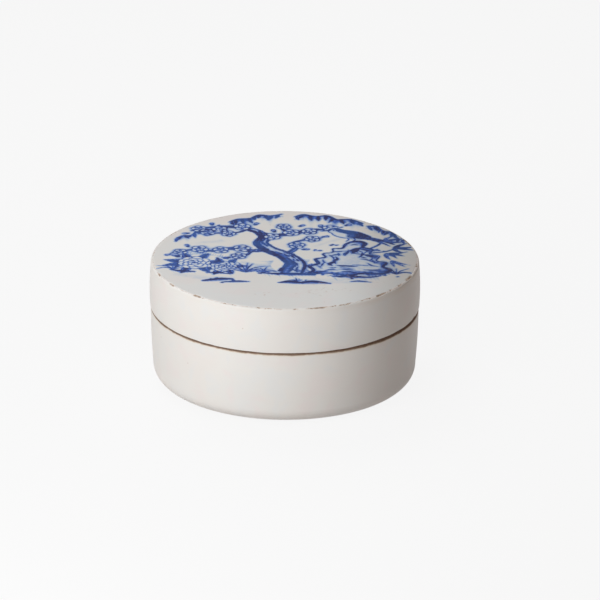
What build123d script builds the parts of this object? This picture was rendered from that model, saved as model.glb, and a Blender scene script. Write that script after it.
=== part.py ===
from build123d import *

import os

# A round seal paste box of glazed porcelain: a base that holds the paste, and a cover
# that lifts straight off. Millimetres, +Z up. The origin is on the table, in the middle
# of the foot ring.

# Outside
box_diameter = 89.7  # across the cover at its rim
cover_height = 15.7  # rim to top
cover_swell = 0.15  # the cover's wall stands this much fuller half way up
cover_draw = 0.3  # and is drawn in this much by the shoulder
shoulder_round = 0.9  # edge between the cover's wall and its top
rim_overhang = 0.25  # the cover stands out this much past the base
base_height = 25.7  # underside to seat, without the foot ring
base_taper = 1.4  # the base's wall draws in this much from seat to underside
base_turn = 5.2  # rounded turn from the base's wall to its underside

# The meeting rims, and the flange that keeps the cover in place
cover_wall = 2.8  # at the rim
cover_rim_round = 0.35
seat_round = 0.45
flange_clearance = 0.5  # all round, between the flange and the cover
flange_thickness = 2.3
flange_height = 4.5
flange_lean = 3  # degrees by which the flange's outside leans in
flange_round_share = 0.36  # of the flange's thickness

# Insides
cover_top = 3.5
ceiling_turn = 4.0  # rounded turn from the cover's wall to its ceiling
bowl_floor = 4.5
bowl_turn_share = 0.44  # rounded turn from the bowl's wall to its floor, of the bowl's depth

# Foot ring
foot_inset = 4.5  # the ring stands this far in from the base's rounded turn
foot_width = 3.2
foot_height = 1.0
foot_recess = 1.8  # depth of the underside within the ring
foot_round_share = 0.16  # of the ring's width
recess_turn_share = 0.5  # of the recess's depth

# Seal paste
paste_clearance = 0.3  # all round, between the paste and the bowl's wall
paste_ease = 1.0  # the paste's lower edge is this much rounder than the bowl
paste_fill_share = 0.66  # height of the paste's edge, of the bowl's depth
paste_crown = 5.0  # the paste's middle stands this much higher than its edge
paste_shoulder = 3.0  # rounded edge of the mound

# Heights above the table
underside_z = foot_height
seat_z = underside_z + base_height
floor_z = foot_recess + bowl_floor
flange_z = seat_z + flange_height
top_z = seat_z + cover_height
belly_z = seat_z + cover_height / 2
bowl_depth = seat_z - floor_z
paste_edge_z = floor_z + bowl_depth * paste_fill_share
paste_top_z = paste_edge_z + paste_crown

# Radii about the box's axis
cover_rim_radius = box_diameter / 2
belly_radius = cover_rim_radius + cover_swell
cover_shoulder_radius = cover_rim_radius - cover_draw
cover_inner_radius = cover_rim_radius - cover_wall
flange_radius = cover_inner_radius - flange_clearance
bowl_radius = flange_radius - flange_thickness
base_rim_radius = cover_rim_radius - rim_overhang
base_low_radius = base_rim_radius - base_taper
foot_radius = base_low_radius - base_turn - foot_inset
paste_radius = bowl_radius - paste_clearance

flange_round = flange_thickness * flange_round_share
foot_round = foot_width * foot_round_share
recess_turn = foot_recess * recess_turn_share
bowl_turn = bowl_depth * bowl_turn_share
paste_turn = bowl_turn + paste_ease

# Base: a solid turned body first, with its foot ring, seat and flange
with BuildPart() as box_base:
    with BuildSketch(Plane.XZ):
        with BuildLine():
            TangentArc((base_rim_radius, seat_z), (base_low_radius, underside_z), tangent=(0, -1))
            Polyline(
                (base_low_radius, underside_z),
                (0, underside_z),
                (0, seat_z),
                (base_rim_radius, seat_z),
            )
        make_face()
    revolve(axis=Axis.Z)
    fillet(box_base.edges().group_by(Axis.Z)[0], base_turn)
    fillet(box_base.edges().group_by(Axis.Z)[-1], seat_round)

    with BuildSketch(Plane.XY.offset(seat_z)):
        Circle(flange_radius)
    extrude(amount=flange_height, taper=flange_lean)

    with BuildSketch(Plane.XY):
        Circle(foot_radius)
    extrude(amount=foot_height)
    with BuildSketch(Plane.XY):
        Circle(foot_radius - foot_width)
    extrude(amount=foot_recess, mode=Mode.SUBTRACT)
    fillet(box_base.edges().group_by(Axis.Z)[0], foot_round)
    recess_face = box_base.faces().filter_by(Plane.XY).sort_by(Axis.Z)[2]
    fillet(recess_face.edges(), recess_turn)

    # Bowl, open at the top through the flange
    with BuildSketch(Plane.XY.offset(floor_z)):
        Circle(bowl_radius)
    extrude(amount=flange_z - floor_z, mode=Mode.SUBTRACT)
    fillet(box_base.edges().group_by(Axis.Z)[-1], flange_round)
    bowl_face = box_base.faces().filter_by(Plane.XY).sort_by(Axis.Z)[3]
    fillet(bowl_face.edges(), bowl_turn)
box_base.part.label = "box_base"

# Cover: its rim sits flat on the seat, round the flange
with BuildPart() as cover:
    with BuildSketch(Plane.XZ):
        with BuildLine():
            ThreePointArc(
                (cover_rim_radius, seat_z),
                (belly_radius, belly_z),
                (cover_shoulder_radius, top_z),
            )
            Polyline(
                (cover_shoulder_radius, top_z),
                (0, top_z),
                (0, seat_z),
                (cover_rim_radius, seat_z),
            )
        make_face()
    revolve(axis=Axis.Z)
    fillet(cover.edges().group_by(Axis.Z)[-1], shoulder_round)
    with BuildSketch(Plane.XY.offset(seat_z)):
        Circle(cover_inner_radius)
    extrude(amount=cover_height - cover_top, mode=Mode.SUBTRACT)
    fillet(cover.edges().group_by(Axis.Z)[0], cover_rim_round)
    ceiling = cover.faces().filter_by(Plane.XY).sort_by(Axis.Z)[-2]
    fillet(ceiling.edges(), ceiling_turn)
cover.part.label = "cover"

# Seal paste: a mound that rests on the bowl's floor
with BuildPart() as seal_paste:
    with BuildSketch(Plane.XZ) as seal_paste_profile:
        with BuildLine():
            TangentArc((0, paste_top_z), (paste_radius, paste_edge_z), tangent=(1, 0))
            Polyline(
                (paste_radius, paste_edge_z),
                (paste_radius, floor_z),
                (0, floor_z),
                (0, paste_top_z),
            )
        make_face()
        corners = seal_paste_profile.vertices().group_by(Axis.X)[-1].sort_by(Axis.Y)
        fillet(corners[0], paste_turn)
        corners = seal_paste_profile.vertices().group_by(Axis.X)[-1].sort_by(Axis.Y)
        fillet(corners[-1], paste_shoulder)
    revolve(axis=Axis.Z)
seal_paste.part.label = "seal_paste"

os.makedirs("parts", exist_ok=True)
export_step(box_base.part, "parts/box_base.step")
export_step(cover.part, "parts/cover.step")
export_step(seal_paste.part, "parts/seal_paste.step")
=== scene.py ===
"""A round porcelain seal paste box, dressed: glazed base, painted cover and vermilion paste."""

import math

import bpy
import numpy as np
from bpy.props import FloatProperty, FloatVectorProperty, IntProperty, PointerProperty
from mathutils import Matrix, Vector, noise


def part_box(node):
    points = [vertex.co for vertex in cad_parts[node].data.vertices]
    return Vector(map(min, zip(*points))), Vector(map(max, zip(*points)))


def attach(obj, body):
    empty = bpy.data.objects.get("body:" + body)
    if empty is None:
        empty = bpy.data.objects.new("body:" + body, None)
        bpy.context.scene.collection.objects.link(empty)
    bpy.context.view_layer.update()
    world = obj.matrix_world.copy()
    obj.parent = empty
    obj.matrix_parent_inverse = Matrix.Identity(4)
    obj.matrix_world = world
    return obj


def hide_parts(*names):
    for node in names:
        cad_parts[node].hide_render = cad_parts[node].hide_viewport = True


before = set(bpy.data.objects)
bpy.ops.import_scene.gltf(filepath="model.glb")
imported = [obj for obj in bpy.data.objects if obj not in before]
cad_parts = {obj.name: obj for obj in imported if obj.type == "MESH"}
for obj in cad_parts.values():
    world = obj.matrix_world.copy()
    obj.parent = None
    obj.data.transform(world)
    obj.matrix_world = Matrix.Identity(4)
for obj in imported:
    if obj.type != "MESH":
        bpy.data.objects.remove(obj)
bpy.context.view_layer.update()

bl_info = {
    "name": "Seal Paste Box",
    "version": (1, 0, 0),
    "blender": (4, 5, 0),
    "location": "View3D > Sidebar > Seal Box",
    "description": "Glazes, paints and fills a round porcelain seal paste box",
    "category": "Object",
}

MM = 0.001
HAIR = 0.01 * MM  # tolerance for points that lie on a flat or on the axis

# Heights and radii that the fixed model gives
COVER_LOW, COVER_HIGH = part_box("cover")
PASTE_LOW, PASTE_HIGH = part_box("seal_paste")
SEAT_Z, TOP_Z = COVER_LOW[2], COVER_HIGH[2]
BOWL_Z, PASTE_Z = PASTE_LOW[2], PASTE_HIGH[2]
FLANGE_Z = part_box("box_base")[1][2]
BELLY_RADIUS = COVER_HIGH[0]
PASTE_RADIUS = PASTE_HIGH[0]

# How finely the surfaces are divided
BASE_SIDES = 720
PASTE_SIDES = 300
TOP_CELLS = 250

# Where the random draws start
PAINTING_SEED = 11
SCUFF_SEED = 29
FIBRE_SEED = 5

# The camera and the lamps, in degrees above level, of roll, and right of the front
CAMERA_RISE, CAMERA_ROLL = 21.95, 0.47
KEY_ROUND, KEY_RISE = -31.0, 24.0
BACK_ROUND, BACK_RISE = -148.0, 55.0

# The picture: its side in pixels and in metres at the box, and the pixel of the seam's middle
PICTURE_PIXELS = 600
PICTURE_SIDE = 0.2
SEAM_PIXEL = (284.75, 303.05)


def length(name, description, millimetres):
    """A size that a user can change, in metres."""
    limits = {"min": 0.0, "precision": 5, "unit": "LENGTH"}
    return FloatProperty(name=name, description=description, default=millimetres * MM, **limits)


def colour(name, description, rgb):
    """A colour that a user can change."""
    limits = {"min": 0.0, "max": 1.0, "size": 3, "subtype": "COLOR"}
    return FloatVectorProperty(name=name, description=description, default=rgb, **limits)


def fraction(name, description, default):
    """A share from 0 to 1 that a user can change."""
    return FloatProperty(name=name, description=description, default=default, subtype="FACTOR")


def watts(name, description, default):
    """A lamp's power that a user can change."""
    return FloatProperty(name=name, description=description, default=default, unit="POWER")


class PorcelainSizes(bpy.types.PropertyGroup):
    """Turned sizes of the two porcelain bodies."""

    cover_swell: length("Cover swell", "How much fuller the cover's wall is half way up", 0.15)
    cover_draw: length("Cover draw", "How far the cover's wall draws in by its shoulder", 0.3)
    shoulder: length("Shoulder", "Rounded edge between the cover's wall and top", 0.9)
    overhang: length("Overhang", "How far the cover stands out past the base", 0.25)
    taper: length("Taper", "How far the base's wall draws in from seat to underside", 1.4)
    base_turn: length("Base turn", "Rounded turn from the base's wall to its underside", 5.2)
    cover_wall: length("Cover wall", "Thickness of the cover's wall at its rim", 2.8)
    rim_round: length("Rim round", "Rounded outer edge of the cover's rim", 0.35)
    seat_round: length("Seat round", "Rounded outer edge of the base's seat", 0.45)
    clearance: length("Clearance", "Gap between the flange and the cover", 0.5)
    flange: length("Flange", "Thickness of the flange", 2.3)
    lean: length("Lean", "How far the flange's outside leans in by its top", 0.24)
    cover_top: length("Cover top", "Thickness of the cover's top", 3.5)
    ceiling_turn: length("Ceiling turn", "Rounded turn from the cover's wall to its ceiling", 4.0)
    bowl_turn: length("Bowl turn", "Rounded turn from the bowl's wall to its floor", 9.0)
    underside: length("Underside", "Height of the underside above the table", 1.0)
    recess: length("Recess", "Depth of the underside within the foot ring", 1.8)
    foot_inset: length("Foot inset", "How far the foot ring stands in from the base's turn", 4.5)
    foot_width: length("Foot width", "Width of the foot ring", 3.2)


class GlazeColours(bpy.types.PropertyGroup):
    """Colours of the glaze, of the bare clay and of the cobalt."""

    glaze: colour("Glaze", "Clear glaze over white clay", (0.80, 0.788, 0.76))
    cool: colour("Cool glaze", "Where the glaze lies thicker", (0.755, 0.780, 0.790))
    warm: colour("Warm glaze", "Where the clay below has warmed it", (0.80, 0.75, 0.72))
    thin: colour("Thin glaze", "Where it has run thin over an edge", (0.74, 0.65, 0.55))
    clay: colour("Clay", "Bare fired clay", (0.60, 0.49, 0.39))
    # Partly real handling stain, partly painted shade: the colour also holds the shade of the
    # groove at the seam
    stain_and_shade: colour("Stained and shaded clay", "Clay darkened by handling, with the seam's painted shade", (0.15, 0.086, 0.056))
    frit: colour("Frit", "Brown clay where the glaze has crumbled off", (0.22, 0.145, 0.11))
    blush: colour("Blush", "Pink cast of the glaze", (0.82, 0.745, 0.735))
    scuff: colour("Scuff", "Rubbed place in the glaze", (0.58, 0.46, 0.40))
    # Painted shade: a grey multiplied into the glaze at the top's right, where the key lamp's light
    # falls off
    painted_right_shade: colour("Painted shade glaze", "Painted shade: grey on the top's right, where the key lamp's light falls off", (0.56, 0.555, 0.55))
    speck: colour("Speck", "Iron speck under the glaze", (0.42, 0.25, 0.19))
    cobalt_light: colour("Light cobalt", "Thinnest wash", (0.44, 0.56, 0.74))
    cobalt_mid: colour("Middle cobalt", "Wash", (0.038, 0.130, 0.54))
    cobalt_dark: colour("Dark cobalt", "Full brush", (0.012, 0.021, 0.135))
    cobalt_clear: colour("Clear cobalt", "Where it has run bright", (0.018, 0.110, 0.420))


class PasteLook(bpy.types.PropertyGroup):
    """Colours, sizes and relief of the seal paste."""

    bright: colour("Bright", "Fresh vermilion on the crests", (0.66, 0.050, 0.020))
    deep: colour("Deep", "Oily vermilion in the folds", (0.33, 0.012, 0.008))
    fibre: colour("Fibre", "Plant fibre soaked with pigment", (0.72, 0.13, 0.06))
    crown: length("Crown", "Height of the mound above its edge", 5.0)
    shoulder: length("Shoulder", "Rounded turn from the paste's side to its mound", 3.0)
    turn: length("Turn", "Rounded turn from the paste's side to its underside", 9.9)
    fold: length("Fold", "Height of the kneaded folds", 0.8)
    fibres: IntProperty(name="Fibres", description="Loose fibres on the mound", default=150, min=0)


class StudioLook(bpy.types.PropertyGroup):
    """Floor, light and camera."""

    bounce: colour("Bounce", "Floor, as it lights the box from below", (0.47, 0.435, 0.41))
    floor: colour("Floor", "Floor, as it is seen, apart from its lift", (0.06, 0.06, 0.06))
    lift: fraction("Lift", "White added to the floor as it is seen", 0.89)
    gleam: fraction("Gleam", "White added to the floor as the glaze reflects it", 0.5)
    glow: fraction("Glow", "White added to the floor as it lights the box", 0.18)
    horizon: fraction("Horizon", "Light at floor level", 0.32)
    zenith: fraction("Zenith", "Light from above", 0.31)
    shade: colour("Shade", "Dim warm side of the room, at the right", (0.40, 0.26, 0.21))
    key: watts("Key", "Power of the key lamp", 0.79)
    back: watts("Back", "Power of the lamp behind", 0.80)
    key_size: length("Key size", "Side of the key lamp", 220)
    key_distance: length("Key distance", "From the box to the key lamp", 360)
    back_size: length("Back size", "Side of the lamp behind", 300)
    back_distance: length("Back distance", "From the box to the lamp behind", 450)
    distance: length("Distance", "From the box to the camera", 3750)
    lens: FloatProperty(name="Lens", description="Focal length", default=675.0, unit="CAMERA")


GROUPS = {
    "porcelain": PorcelainSizes,
    "glaze": GlazeColours,
    "paste": PasteLook,
    "studio": StudioLook,
}


def settings(context, group):
    """One of the box's groups of settings."""
    return getattr(context.scene, "seal_box_" + group)


# Node materials


class Nodes:
    """A node tree, with short calls for the nodes that the box's materials share."""

    def __init__(self, tree):
        self.tree = tree

    def feed(self, socket, value):
        """Sets a socket, by a plain value or by a link from another node's output."""
        if isinstance(value, bpy.types.NodeSocket):
            self.tree.links.new(value, socket)
        else:
            socket.default_value = value

    def add(self, kind, fields=None, **inputs):
        """Adds a node. An input goes by its name, or by its number after an underscore."""
        made = self.tree.nodes.new("ShaderNode" + kind)
        for field, value in (fields or {}).items():
            setattr(made, field, value)
        for name, value in inputs.items():
            key = int(name[1:]) if name[0] == "_" else name.replace("_", " ")
            self.feed(made.inputs[key], value)
        return made

    def sums(self, operation, *values, clamp=False):
        """A Math node's output."""
        fields = {"operation": operation, "use_clamp": clamp}
        inputs = {"_%d" % place: value for place, value in enumerate(values)}
        return self.add("Math", fields, **inputs).outputs[0]

    def times(self, value, factor):
        """Two values multiplied."""
        return self.sums("MULTIPLY", value, factor)

    def spread(self, value, factor, shift):
        """A value multiplied by a factor and then shifted."""
        return self.sums("MULTIPLY_ADD", value, factor, shift)

    def between(self, share, low, high):
        """A number between two others, by a share from 0 to 1."""
        return self.add("Mix", {"data_type": "FLOAT"}, _0=share, _2=low, _3=high).outputs[0]

    def blend(self, share, below, above, mode="MIX"):
        """Mixes two colours, by a share from 0 to 1."""
        made = self.add("Mix", {"data_type": "RGBA", "blend_type": mode}, _0=share)
        for place, value in ((6, below), (7, above)):
            linked = isinstance(value, bpy.types.NodeSocket)
            self.feed(made.inputs[place], value if linked else (*value, 1.0))
        return made.outputs[2]

    def step(self, value, low, high, low_to=0.0, high_to=1.0):
        """A smooth step from low to high."""
        smooth = {"interpolation_type": "SMOOTHSTEP"}
        limits = {"From_Min": low, "From_Max": high, "To_Min": low_to, "To_Max": high_to}
        return self.add("MapRange", smooth, Value=value, **limits).outputs[0]

    def mark(self, name):
        """A value that the mesh carries on its points, or 0 where it carries none of that name."""
        return self.add("Attribute", {"attribute_name": name}).outputs["Fac"]


class Finish(Nodes):
    """A new material, with its shader and the piece's own coordinates."""

    def __init__(self, name):
        self.material = bpy.data.materials.new(name)
        self.material.use_nodes = True
        super().__init__(self.material.node_tree)
        self.shader = self.tree.nodes["Principled BSDF"]
        self.place = self.add("TexCoord").outputs["Object"]

    def speckle(self, size, detail=2.0, roughness=0.5, distortion=0.0):
        """Soft noise whose features measure about `size` metres."""
        looks = {"Detail": detail, "Roughness": roughness, "Distortion": distortion}
        return self.add("TexNoise", Vector=self.place, Scale=1.0 / size, **looks).outputs[0]

    def bump(self, relief, reach, strength=1.0):
        """A bump's output, for the shader's normal."""
        return self.add("Bump", Strength=strength, Height=relief, Distance=reach).outputs[0]

    def coat(self, **inputs):
        """Sets the shader's inputs."""
        for name, value in inputs.items():
            self.feed(self.shader.inputs[name.replace("_", " ")], value)


def cobalt(finish, glaze, clear):
    """The painting under the glaze, from the strokes and washes that the mesh carries."""
    bleed = finish.spread(finish.speckle(0.6 * MM, 3.0), 0.24, -0.12)
    edge = finish.sums("ADD", finish.mark("ink"), bleed)
    core = finish.step(edge, -0.12, 0.20, 0.0, 0.70)
    halo = finish.step(edge, -0.85, 0.12, 0.0, 0.30)
    stroke = finish.times(finish.sums("ADD", core, halo), finish.mark("depth"))
    heap = finish.step(finish.speckle(1.1 * MM, 3.0, 0.6), 0.30, 0.72, 0.64, 1.30)
    pool = finish.step(finish.speckle(2.6 * MM, 3.0, 0.65, 0.6), 0.25, 0.75, 0.62, 1.30)
    wash = finish.times(finish.mark("wash"), pool)
    density = finish.sums("MULTIPLY_ADD", stroke, heap, wash, clamp=True)
    ramp = finish.add("ValToRGB", Fac=density)
    pale, dark = ramp.color_ramp.elements
    pale.position, pale.color = 0.22, (*glaze.cobalt_light, 1.0)
    dark.position, dark.color = 0.96, (*glaze.cobalt_dark, 1.0)
    ramp.color_ramp.elements.new(0.55).color = (*glaze.cobalt_mid, 1.0)
    runny = finish.step(finish.speckle(9 * MM), 0.42, 0.62)
    runny = finish.times(runny, finish.step(density, 0.5, 0.8))
    blue = finish.blend(finish.times(runny, 0.55), ramp.outputs[0], glaze.cobalt_clear)
    return finish.blend(finish.step(density, 0.0, 0.26), clear, blue)


def porcelain(name, glaze, painted):
    """White glaze with its clouds, specks and pinholes, and the clay where it is bare or worn."""
    finish = Finish(name)
    cloud = finish.speckle(22 * MM, 3.0, 0.55)
    patch = finish.speckle(8 * MM, 2.0, 0.5, 0.4)
    mottle = finish.speckle(1.4 * MM, 4.0, 0.7)
    grit = finish.speckle(0.7 * MM, 5.0, 0.75)
    cells = finish.add("TexVoronoi", Vector=finish.place, Scale=1.0 / (4.5 * MM), Randomness=1.0)
    chance = finish.add("SeparateColor", Color=cells.outputs["Color"]).outputs[0]
    near = finish.step(cells.outputs["Distance"], 0.055, 0.025)
    speck = finish.times(finish.step(chance, 0.80, 0.84), near)
    casts = (
        (finish.step(cloud, 0.55, 0.25, 0.0, 0.40), glaze.cool),
        (finish.step(cloud, 0.48, 0.78, 0.0, 0.35), glaze.warm),
        (finish.mark("blush"), glaze.warm),
        (finish.mark("pool"), glaze.cool),
        (finish.step(patch, 0.50, 0.68, 0.0, 0.36), glaze.blush),
        (finish.step(patch, 0.46, 0.30, 0.0, 0.35), glaze.cool),
        (finish.step(mottle, 0.55, 0.80, 0.0, 0.10), glaze.warm),
        (finish.times(speck, 0.6), glaze.speck),
    )
    clear = glaze.glaze
    for share, tint in casts:
        clear = finish.blend(share, clear, tint)
    if painted:
        clear = cobalt(finish, glaze, clear)
    for label, tint in (("thin", glaze.thin), ("scuff", glaze.scuff)):
        clear = finish.blend(finish.mark(label), clear, tint)
    # Painted shade: multiplies the glaze by a grey where the mesh carries this mark, at the top's
    # right
    clear = finish.blend(finish.mark("painted_right_shade"), clear, glaze.painted_right_shade, "MULTIPLY")

    def ragged(label, reach):
        """A mark whose edge the grit of the clay breaks up."""
        return finish.sums("ADD", finish.mark(label), finish.spread(grit, 2 * reach, -reach))

    bare = finish.step(ragged("bare", 0.4), 0.40, 0.60)
    worn = finish.step(ragged("worn", 0.8), 0.36, 0.62)
    # Bare clay darkening towards the stain colour: partly handling stain, partly painted shade of
    # the seam's groove
    clay = finish.blend(ragged("seam_stain_and_shade", 0.25), glaze.clay, glaze.stain_and_shade)
    chipped = finish.blend(finish.step(grit, 0.35, 0.65), glaze.frit, glaze.clay)
    look = finish.blend(worn, finish.blend(bare, clear, clay), chipped)
    dull = finish.sums("MAXIMUM", bare, worn)
    satin = finish.step(finish.speckle(14 * MM), 0.25, 0.75, 0.34, 0.40)
    relief = finish.between(dull, finish.speckle(4.0 * MM, 1.0), grit)
    normal = finish.bump(relief, finish.between(dull, 0.003 * MM, 0.09 * MM))
    rough = finish.between(dull, satin, 0.85)
    finish.coat(Base_Color=look, Roughness=rough, Normal=normal, Specular_IOR_Level=0.22)
    return finish


def vermilion(name, look):
    """Oily pigment kneaded with plant fibre."""
    finish = Finish(name)
    strands = finish.speckle(1.6 * MM, 6.0, 0.5, 2.2)
    hair = finish.speckle(0.35 * MM, 4.0, 0.7, 3.0)
    hue = finish.blend(finish.step(strands, 0.34, 0.66), look.deep, look.bright)
    hue = finish.blend(finish.step(hair, 0.58, 0.72, 0.0, 0.5), hue, look.fibre)
    oily = finish.step(finish.speckle(2.4 * MM, 3.0, 0.6), 0.35, 0.7, 0.36, 0.68)
    normal = finish.bump(finish.spread(hair, 0.35, strands), 0.35 * MM, 0.9)
    finish.coat(Base_Color=hue, Roughness=oily, Normal=normal, Specular_IOR_Level=0.35)
    finish.coat(Subsurface_Weight=0.08, Subsurface_Scale=0.6 * MM)
    finish.coat(Subsurface_Radius=(1.0, 0.2, 0.1))
    return finish


# Turned shapes


def bend(radius, height, size, start, end, steps):
    """Points round a turn of a profile, as (radius, height) pairs, by angle in degrees."""
    turns = np.radians(np.linspace(start, end, steps + 1))
    return [(radius + size * math.cos(a), height + size * math.sin(a)) for a in turns]


def run(start, end, steps):
    """Points along a straight stretch of a profile, without its ends."""
    out, up = end[0] - start[0], end[1] - start[1]
    shares = np.linspace(0.0, 1.0, steps + 1)[1:-1]
    return [(start[0] + out * share, start[1] + up * share) for share in shares]


def grain(points, size, seed=0.0):
    """Smooth noise from -1 to 1 at each point, with features of about `size` metres."""
    shift = Vector((seed, seed * 0.37, -seed * 0.61))
    return np.array([noise.noise(Vector(p) / size + shift) for p in points])


def ease(values, low, high):
    """A smooth step from 0 at low to 1 at high."""
    share = np.clip((values - low) / (high - low), 0.0, 1.0)
    return share * share * (3.0 - 2.0 * share)


class Turned:
    """A ring-by-ring surface about the box's axis, with values carried on its points."""

    def __init__(self, profile, angles):
        self.angles = np.asarray(angles)
        rings = np.asarray(profile)
        radius = np.repeat(rings[:, 0], len(angles))
        turn = np.tile(self.angles, len(rings))
        height = np.repeat(rings[:, 1], len(angles))
        self.points = np.column_stack((radius * np.cos(turn), radius * np.sin(turn), height))
        self.rings = len(rings)
        self.faces = []
        for ring in range(self.rings - 1):
            self.faces += self.band(ring * len(angles), (ring + 1) * len(angles))

    def band(self, low, high):
        """Four-sided faces between two rings, given by their first points."""
        count = len(self.angles)
        after = [(i + 1) % count for i in range(count)]
        return [(low + i, high + i, high + j, low + j) for i, j in enumerate(after)]

    def close(self, ring, height):
        """Closes a ring with a fan to the axis."""
        count = len(self.angles)
        first = ring * count
        pole = len(self.points)
        self.points = np.vstack((self.points, (0.0, 0.0, height)))
        self.faces += [(first + i, first + (i + 1) % count, pole) for i in range(count)]


def radii(points):
    """Distance of each point from the axis."""
    return np.hypot(points[:, 0], points[:, 1])


def shift_out(points, amount):
    """Moves points away from the axis."""
    out = points[:, :2] / np.maximum(radii(points), HAIR)[:, None]
    points[:, :2] += out * amount[:, None]


def make_piece(name, points, faces, finish, body, slot, node=None, **marks):
    """A smooth closed mesh that rides on a body and stands for a node of the fixed model."""
    mesh = bpy.data.meshes.new(name)
    mesh.from_pydata(points.tolist(), [], faces)
    mesh.polygons.foreach_set("use_smooth", [True] * len(mesh.polygons))
    for label, values in marks.items():
        layer = mesh.attributes.new(label, "FLOAT", "POINT")
        layer.data.foreach_set("value", np.asarray(values, dtype=np.float32))
    mesh.materials.append(finish.material)
    mesh.update()
    piece = bpy.data.objects.new(name, mesh)
    bpy.context.scene.collection.objects.link(piece)
    with bpy.context.temp_override(active_object=piece, object=piece, selected_objects=[piece]):
        bpy.context.view_layer.objects.active = piece
        bpy.ops.object.mode_set(mode="EDIT")
        bpy.ops.mesh.select_all(action="SELECT")
        bpy.ops.mesh.normals_make_consistent(inside=False)
        bpy.ops.object.mode_set(mode="OBJECT")
    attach(piece, body)
    if node:
        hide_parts(node)
    return piece


def rim_radius(sizes):
    """Radius of the cover's wall at its rim."""
    return BELLY_RADIUS - sizes.cover_swell


def degrees_round(points):
    """The way round to each point, in degrees from the front to the right."""
    return np.degrees(np.arctan2(points[:, 0], -points[:, 1]))


def dark_seam_side(points):
    """From 0 to 1, by the way round: the seam is widest and darkest at the right of the front."""
    degrees = degrees_round(points)
    return ease(degrees, 5.0, 78.0) * ease(degrees, 150.0, 110.0)


def rough_clay(points, bare):
    """Gives bare clay its grit."""
    shift_out(points, bare * grain(points, 0.5 * MM, 3.0) * 0.035 * MM)


# Painting


BLANK = 3.0  # how far round a stroke its edge is worked out, in millimetres


def through(points, steps=7, closed=False):
    """A smooth line through given points, any further columns carried along."""
    p = np.asarray(points, dtype=float)
    ends = (p[-1], p[0], p[1]) if closed else (2 * p[0] - p[1], 2 * p[-1] - p[-2])
    p = np.vstack((ends[0], p, *ends[1:]))
    made = []
    for a, b, c, d in zip(p, p[1:], p[2:], p[3:]):
        for t in np.linspace(0.0, 1.0, steps, endpoint=False):
            bend_in = (2 * a - 5 * b + 4 * c - d) * t**2 + (3 * b - a - 3 * c + d) * t**3
            made.append(0.5 * (2 * b + (c - a) * t + bend_in))
    if not closed:
        made.append(p[-2])
    return np.array(made)


def toward(x, y, turn, reach):
    """The place at a reach from another, by its direction in radians."""
    return x + math.cos(turn) * reach, y + math.sin(turn) * reach


def sideways(line):
    """Unit directions square to a line, at its left."""
    along = np.gradient(line[:, :2], axis=0)
    across = np.column_stack((-along[:, 1], along[:, 0]))
    return across / np.maximum(np.linalg.norm(across, axis=1), 1e-9)[:, None]


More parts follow.
